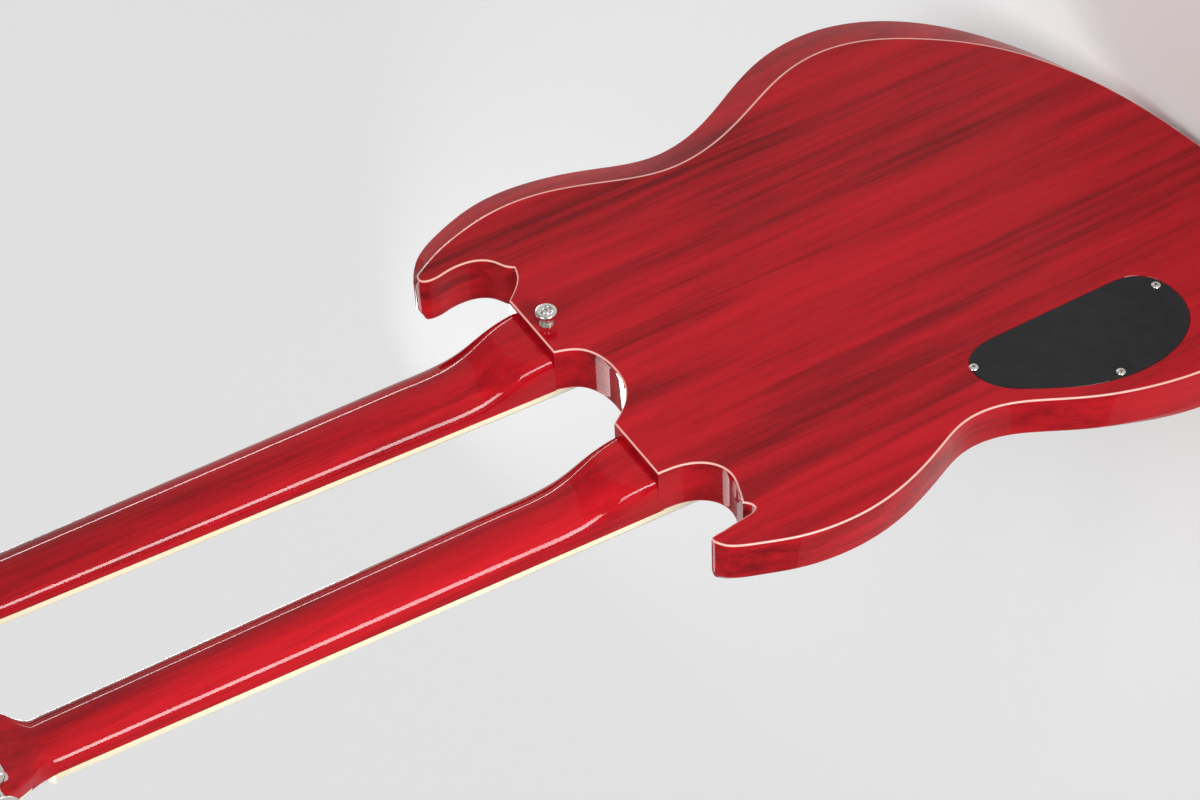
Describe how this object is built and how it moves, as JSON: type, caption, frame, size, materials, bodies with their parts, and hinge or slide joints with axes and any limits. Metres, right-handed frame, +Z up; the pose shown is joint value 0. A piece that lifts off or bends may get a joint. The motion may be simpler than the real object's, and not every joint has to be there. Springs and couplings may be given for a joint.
{
  "type": "double-neck guitar",
  "caption": "Solid-body electric guitar with two parallel necks, a wide fully strung one and a narrow one, on a carved cherry-red body with horned cutaways.",
  "frame": {"origin": "seat of the tail strap button, midway between the necks and midway through the body", "axes": "+Z up the necks to the heads, -Y out of the playing face, +Y out of the back, +X to the treble side"},
  "size_m": [0.4352, 0.119, 1.1307],
  "materials": {
    "body_finish": "gloss lacquer, cherry red",
    "neck_finish": "gloss lacquer, cherry red",
    "rosewood": "oiled, open grain",
    "cream_binding": "polished",
    "fret_metal": "polished nickel silver",
    "pearl_inlay": "pearl figure",
    "bone": "satin",
    "string_metal": "drawn wire",
    "tuner_metal": "polished",
    "pickup_cover": "polished",
    "ring_plastic": "moulded",
    "bridge_metal": "polished",
    "guard_plastic": "layered sheet",
    "cover_plastic": "gloss sheet",
    "switch_metal": "plated",
    "button_metal": "polished",
    "knob_plastic": "moulded",
    "lever_plastic": "moulded tip"
  },
  "bodies": {
    "guitar": {"body": "body_finish", "neck_twelve_string": "neck_finish", "neck_six_string": "neck_finish", "fretboards": "rosewood", "bindings": "cream_binding", "frets": "fret_metal", "inlays": "pearl_inlay", "nuts": "bone", "strings": "string_metal", "tuner_housings": "tuner_metal", "pickups": "pickup_cover", "pickup_rings": "ring_plastic", "bridges": "bridge_metal", "tailpieces": "bridge_metal", "pickguards": "guard_plastic", "rear_cover": "cover_plastic", "electronics": "switch_metal", "strap_buttons": "button_metal"},
    "string_post_twelve_01": {"string_post_twelve_01": "tuner_metal"},
    "tuner_key_twelve_01": {"tuner_key_twelve_01": "tuner_metal"},
    "string_post_twelve_12": {"string_post_twelve_12": "tuner_metal"},
    "tuner_key_twelve_12": {"tuner_key_twelve_12": "tuner_metal"},
    "string_post_twelve_02": {"string_post_twelve_02": "tuner_metal"},
    "tuner_key_twelve_02": {"tuner_key_twelve_02": "tuner_metal"},
    "string_post_twelve_11": {"string_post_twelve_11": "tuner_metal"},
    "tuner_key_twelve_11": {"tuner_key_twelve_11": "tuner_metal"},
    "string_post_twelve_03": {"string_post_twelve_03": "tuner_metal"},
    "tuner_key_twelve_03": {"tuner_key_twelve_03": "tuner_metal"},
    "string_post_twelve_10": {"string_post_twelve_10": "tuner_metal"},
    "tuner_key_twelve_10": {"tuner_key_twelve_10": "tuner_metal"},
    "string_post_twelve_04": {"string_post_twelve_04": "tuner_metal"},
    "tuner_key_twelve_04": {"tuner_key_twelve_04": "tuner_metal"},
    "string_post_twelve_09": {"string_post_twelve_09": "tuner_metal"},
    "tuner_key_twelve_09": {"tuner_key_twelve_09": "tuner_metal"},
    "string_post_twelve_05": {"string_post_twelve_05": "tuner_metal"},
    "tuner_key_twelve_05": {"tuner_key_twelve_05": "tuner_metal"},
    "string_post_twelve_08": {"string_post_twelve_08": "tuner_metal"},
    "tuner_key_twelve_08": {"tuner_key_twelve_08": "tuner_metal"},
    "string_post_twelve_06": {"string_post_twelve_06": "tuner_metal"},
    "tuner_key_twelve_06": {"tuner_key_twelve_06": "tuner_metal"},
    "string_post_twelve_07": {"string_post_twelve_07": "tuner_metal"},
    "tuner_key_twelve_07": {"tuner_key_twelve_07": "tuner_metal"},
    "string_post_six_01": {"string_post_six_01": "tuner_metal"},
    "tuner_key_six_01": {"tuner_key_six_01": "tuner_metal"},
    "string_post_six_06": {"string_post_six_06": "tuner_metal"},
    "tuner_key_six_06": {"tuner_key_six_06": "tuner_metal"},
    "string_post_six_02": {"string_post_six_02": "tuner_metal"},
    "tuner_key_six_02": {"tuner_key_six_02": "tuner_metal"},
    "string_post_six_05": {"string_post_six_05": "tuner_metal"},
    "tuner_key_six_05": {"tuner_key_six_05": "tuner_metal"},
    "string_post_six_03": {"string_post_six_03": "tuner_metal"},
    "tuner_key_six_03": {"tuner_key_six_03": "tuner_metal"},
    "string_post_six_04": {"string_post_six_04": "tuner_metal"},
    "tuner_key_six_04": {"tuner_key_six_04": "tuner_metal"},
    "volume_knob_twelve": {"volume_knob_twelve": "knob_plastic"},
    "volume_knob_six": {"volume_knob_six": "knob_plastic"},
    "tone_knob_twelve": {"tone_knob_twelve": "knob_plastic"},
    "tone_knob_six": {"tone_knob_six": "knob_plastic"},
    "neck_selector_lever": {"neck_selector_lever": "lever_plastic"},
    "pickup_selector_lever": {"pickup_selector_lever": "lever_plastic"}
  },
  "joints": [
    {"name": "turn_tuner_key_twelve_01", "type": "hinge", "parent": "guitar", "child": "tuner_key_twelve_01", "pos_m": [-0.09815, 0.02734, 0.9306], "axis": [-1, 0, 0], "continuous": true},
    {"name": "turn_string_post_twelve_01", "type": "hinge", "parent": "guitar", "child": "string_post_twelve_01", "pos_m": [-0.09065, 0.01489, 0.93415], "axis": [0, -0.9617, 0.274], "continuous": true},
    {"name": "turn_tuner_key_twelve_12", "type": "hinge", "parent": "guitar", "child": "tuner_key_twelve_12", "pos_m": [-0.03415, 0.02734, 0.9306], "axis": [1, 0, 0], "continuous": true},
    {"name": "turn_string_post_twelve_12", "type": "hinge", "parent": "guitar", "child": "string_post_twelve_12", "pos_m": [-0.04165, 0.01489, 0.93415], "axis": [0, -0.9617, 0.274], "continuous": true},
    {"name": "turn_tuner_key_twelve_02", "type": "hinge", "parent": "guitar", "child": "tuner_key_twelve_02", "pos_m": [-0.09815, 0.03529, 0.95849], "axis": [-1, 0, 0], "continuous": true},
    {"name": "turn_string_post_twelve_02", "type": "hinge", "parent": "guitar", "child": "string_post_twelve_02", "pos_m": [-0.09065, 0.02283, 0.96204], "axis": [0, -0.9617, 0.274], "continuous": true},
    {"name": "turn_tuner_key_twelve_11", "type": "hinge", "parent": "guitar", "child": "tuner_key_twelve_11", "pos_m": [-0.03415, 0.03529, 0.95849], "axis": [1, 0, 0], "continuous": true},
    {"name": "turn_string_post_twelve_11", "type": "hinge", "parent": "guitar", "child": "string_post_twelve_11", "pos_m": [-0.04165, 0.02283, 0.96204], "axis": [0, -0.9617, 0.274], "continuous": true},
    {"name": "turn_tuner_key_twelve_03", "type": "hinge", "parent": "guitar", "child": "tuner_key_twelve_03", "pos_m": [-0.09815, 0.04323, 0.98638], "axis": [-1, 0, 0], "continuous": true},
    {"name": "turn_string_post_twelve_03", "type": "hinge", "parent": "guitar", "child": "string_post_twelve_03", "pos_m": [-0.09065, 0.03078, 0.98993], "axis": [0, -0.9617, 0.274], "continuous": true},
    {"name": "turn_tuner_key_twelve_10", "type": "hinge", "parent": "guitar", "child": "tuner_key_twelve_10", "pos_m": [-0.03415, 0.04323, 0.98638], "axis": [1, 0, 0], "continuous": true},
    {"name": "turn_string_post_twelve_10", "type": "hinge", "parent": "guitar", "child": "string_post_twelve_10", "pos_m": [-0.04165, 0.03078, 0.98993], "axis": [0, -0.9617, 0.274], "continuous": true},
    {"name": "turn_tuner_key_twelve_04", "type": "hinge", "parent": "guitar", "child": "tuner_key_twelve_04", "pos_m": [-0.09815, 0.05117, 1.01427], "axis": [-1, 0, 0], "continuous": true},
    {"name": "turn_string_post_twelve_04", "type": "hinge", "parent": "guitar", "child": "string_post_twelve_04", "pos_m": [-0.09065, 0.03872, 1.01782], "axis": [0, -0.9617, 0.274], "continuous": true},
    {"name": "turn_tuner_key_twelve_09", "type": "hinge", "parent": "guitar", "child": "tuner_key_twelve_09", "pos_m": [-0.03415, 0.05117, 1.01427], "axis": [1, 0, 0], "continuous": true},
    {"name": "turn_string_post_twelve_09", "type": "hinge", "parent": "guitar", "child": "string_post_twelve_09", "pos_m": [-0.04165, 0.03872, 1.01782], "axis": [0, -0.9617, 0.274], "continuous": true},
    {"name": "turn_tuner_key_twelve_05", "type": "hinge", "parent": "guitar", "child": "tuner_key_twelve_05", "pos_m": [-0.09815, 0.05912, 1.04216], "axis": [-1, 0, 0], "continuous": true},
    {"name": "turn_string_post_twelve_05", "type": "hinge", "parent": "guitar", "child": "string_post_twelve_05", "pos_m": [-0.09065, 0.04667, 1.04571], "axis": [0, -0.9617, 0.274], "continuous": true},
    {"name": "turn_tuner_key_twelve_08", "type": "hinge", "parent": "guitar", "child": "tuner_key_twelve_08", "pos_m": [-0.03415, 0.05912, 1.04216], "axis": [1, 0, 0], "continuous": true},
    {"name": "turn_string_post_twelve_08", "type": "hinge", "parent": "guitar", "child": "string_post_twelve_08", "pos_m": [-0.04165, 0.04667, 1.04571], "axis": [0, -0.9617, 0.274], "continuous": true},
    {"name": "turn_tuner_key_twelve_06", "type": "hinge", "parent": "guitar", "child": "tuner_key_twelve_06", "pos_m": [-0.09815, 0.06706, 1.07005], "axis": [-1, 0, 0], "continuous": true},
    {"name": "turn_string_post_twelve_06", "type": "hinge", "parent": "guitar", "child": "string_post_twelve_06", "pos_m": [-0.09065, 0.05461, 1.0736], "axis": [0, -0.9617, 0.274], "continuous": true},
    {"name": "turn_tuner_key_twelve_07", "type": "hinge", "parent": "guitar", "child": "tuner_key_twelve_07", "pos_m": [-0.03415, 0.06706, 1.07005], "axis": [1, 0, 0], "continuous": true},
    {"name": "turn_string_post_twelve_07", "type": "hinge", "parent": "guitar", "child": "string_post_twelve_07", "pos_m": [-0.04165, 0.05461, 1.0736], "axis": [0, -0.9617, 0.274], "continuous": true},
    {"name": "turn_tuner_key_six_01", "type": "hinge", "parent": "guitar", "child": "tuner_key_six_01", "pos_m": [0.03415, 0.02734, 0.9306], "axis": [-1, 0, 0], "continuous": true},
    {"name": "turn_string_post_six_01", "type": "hinge", "parent": "guitar", "child": "string_post_six_01", "pos_m": [0.04165, 0.01489, 0.93415], "axis": [0, -0.9617, 0.274], "continuous": true},
    {"name": "turn_tuner_key_six_06", "type": "hinge", "parent": "guitar", "child": "tuner_key_six_06", "pos_m": [0.09815, 0.02734, 0.9306], "axis": [1, 0, 0], "continuous": true},
    {"name": "turn_string_post_six_06", "type": "hinge", "parent": "guitar", "child": "string_post_six_06", "pos_m": [0.09065, 0.01489, 0.93415], "axis": [0, -0.9617, 0.274], "continuous": true},
    {"name": "turn_tuner_key_six_02", "type": "hinge", "parent": "guitar", "child": "tuner_key_six_02", "pos_m": [0.03415, 0.03912, 0.97196], "axis": [-1, 0, 0], "continuous": true},
    {"name": "turn_string_post_six_02", "type": "hinge", "parent": "guitar", "child": "string_post_six_02", "pos_m": [0.04165, 0.02667, 0.9755], "axis": [0, -0.9617, 0.274], "continuous": true},
    {"name": "turn_tuner_key_six_05", "type": "hinge", "parent": "guitar", "child": "tuner_key_six_05", "pos_m": [0.09815, 0.03912, 0.97196], "axis": [1, 0, 0], "continuous": true},
    {"name": "turn_string_post_six_05", "type": "hinge", "parent": "guitar", "child": "string_post_six_05", "pos_m": [0.09065, 0.02667, 0.9755], "axis": [0, -0.9617, 0.274], "continuous": true},
    {"name": "turn_tuner_key_six_03", "type": "hinge", "parent": "guitar", "child": "tuner_key_six_03", "pos_m": [0.03415, 0.0509, 1.01331], "axis": [-1, 0, 0], "continuous": true},
    {"name": "turn_string_post_six_03", "type": "hinge", "parent": "guitar", "child": "string_post_six_03", "pos_m": [0.04165, 0.03845, 1.01686], "axis": [0, -0.9617, 0.274], "continuous": true},
    {"name": "turn_tuner_key_six_04", "type": "hinge", "parent": "guitar", "child": "tuner_key_six_04", "pos_m": [0.09815, 0.0509, 1.01331], "axis": [1, 0, 0], "continuous": true},
    {"name": "turn_string_post_six_04", "type": "hinge", "parent": "guitar", "child": "string_post_six_04", "pos_m": [0.09065, 0.03845, 1.01686], "axis": [0, -0.9617, 0.274], "continuous": true},
    {"name": "turn_volume_knob_twelve", "type": "hinge", "parent": "guitar", "child": "volume_knob_twelve", "pos_m": [0.13098, -0.018, 0.23673], "axis": [0, -1, 0], "range_deg": [0, 270]},
    {"name": "turn_volume_knob_six", "type": "hinge", "parent": "guitar", "child": "volume_knob_six", "pos_m": [0.14799, -0.018, 0.20804], "axis": [0, -1, 0], "range_deg": [0, 270]},
    {"name": "turn_tone_knob_twelve", "type": "hinge", "parent": "guitar", "child": "tone_knob_twelve", "pos_m": [0.15802, -0.018, 0.17699], "axis": [0, -1, 0], "range_deg": [0, 270]},
    {"name": "turn_tone_knob_six", "type": "hinge", "parent": "guitar", "child": "tone_knob_six", "pos_m": [0.15802, -0.018, 0.14406], "axis": [0, -1, 0], "range_deg": [0, 270]},
    {"name": "swing_neck_selector_lever", "type": "hinge", "parent": "guitar", "child": "neck_selector_lever", "pos_m": [0, -0.016, 0.33], "axis": [0, 0, 1], "range_deg": [-14, 14]},
    {"name": "swing_pickup_selector_lever", "type": "hinge", "parent": "guitar", "child": "pickup_selector_lever", "pos_m": [0.13715, -0.016, 0.36155], "axis": [1, 0, 0], "range_deg": [-14, 14]}
  ],
  "couplings": [
    {"joint": "turn_string_post_twelve_01", "follows": "turn_tuner_key_twelve_01", "ratio": 0.066667},
    {"joint": "turn_string_post_twelve_12", "follows": "turn_tuner_key_twelve_12", "ratio": -0.066667},
    {"joint": "turn_string_post_twelve_02", "follows": "turn_tuner_key_twelve_02", "ratio": 0.066667},
    {"joint": "turn_string_post_twelve_11", "follows": "turn_tuner_key_twelve_11", "ratio": -0.066667},
    {"joint": "turn_string_post_twelve_03", "follows": "turn_tuner_key_twelve_03", "ratio": 0.066667},
    {"joint": "turn_string_post_twelve_10", "follows": "turn_tuner_key_twelve_10", "ratio": -0.066667},
    {"joint": "turn_string_post_twelve_04", "follows": "turn_tuner_key_twelve_04", "ratio": 0.066667},
    {"joint": "turn_string_post_twelve_09", "follows": "turn_tuner_key_twelve_09", "ratio": -0.066667},
    {"joint": "turn_string_post_twelve_05", "follows": "turn_tuner_key_twelve_05", "ratio": 0.066667},
    {"joint": "turn_string_post_twelve_08", "follows": "turn_tuner_key_twelve_08", "ratio": -0.066667},
    {"joint": "turn_string_post_twelve_06", "follows": "turn_tuner_key_twelve_06", "ratio": 0.066667},
    {"joint": "turn_string_post_twelve_07", "follows": "turn_tuner_key_twelve_07", "ratio": -0.066667},
    {"joint": "turn_string_post_six_01", "follows": "turn_tuner_key_six_01", "ratio": 0.066667},
    {"joint": "turn_string_post_six_06", "follows": "turn_tuner_key_six_06", "ratio": -0.066667},
    {"joint": "turn_string_post_six_02", "follows": "turn_tuner_key_six_02", "ratio": 0.066667},
    {"joint": "turn_string_post_six_05", "follows": "turn_tuner_key_six_05", "ratio": -0.066667},
    {"joint": "turn_string_post_six_03", "follows": "turn_tuner_key_six_03", "ratio": 0.066667},
    {"joint": "turn_string_post_six_04", "follows": "turn_tuner_key_six_04", "ratio": -0.066667}
  ]
}
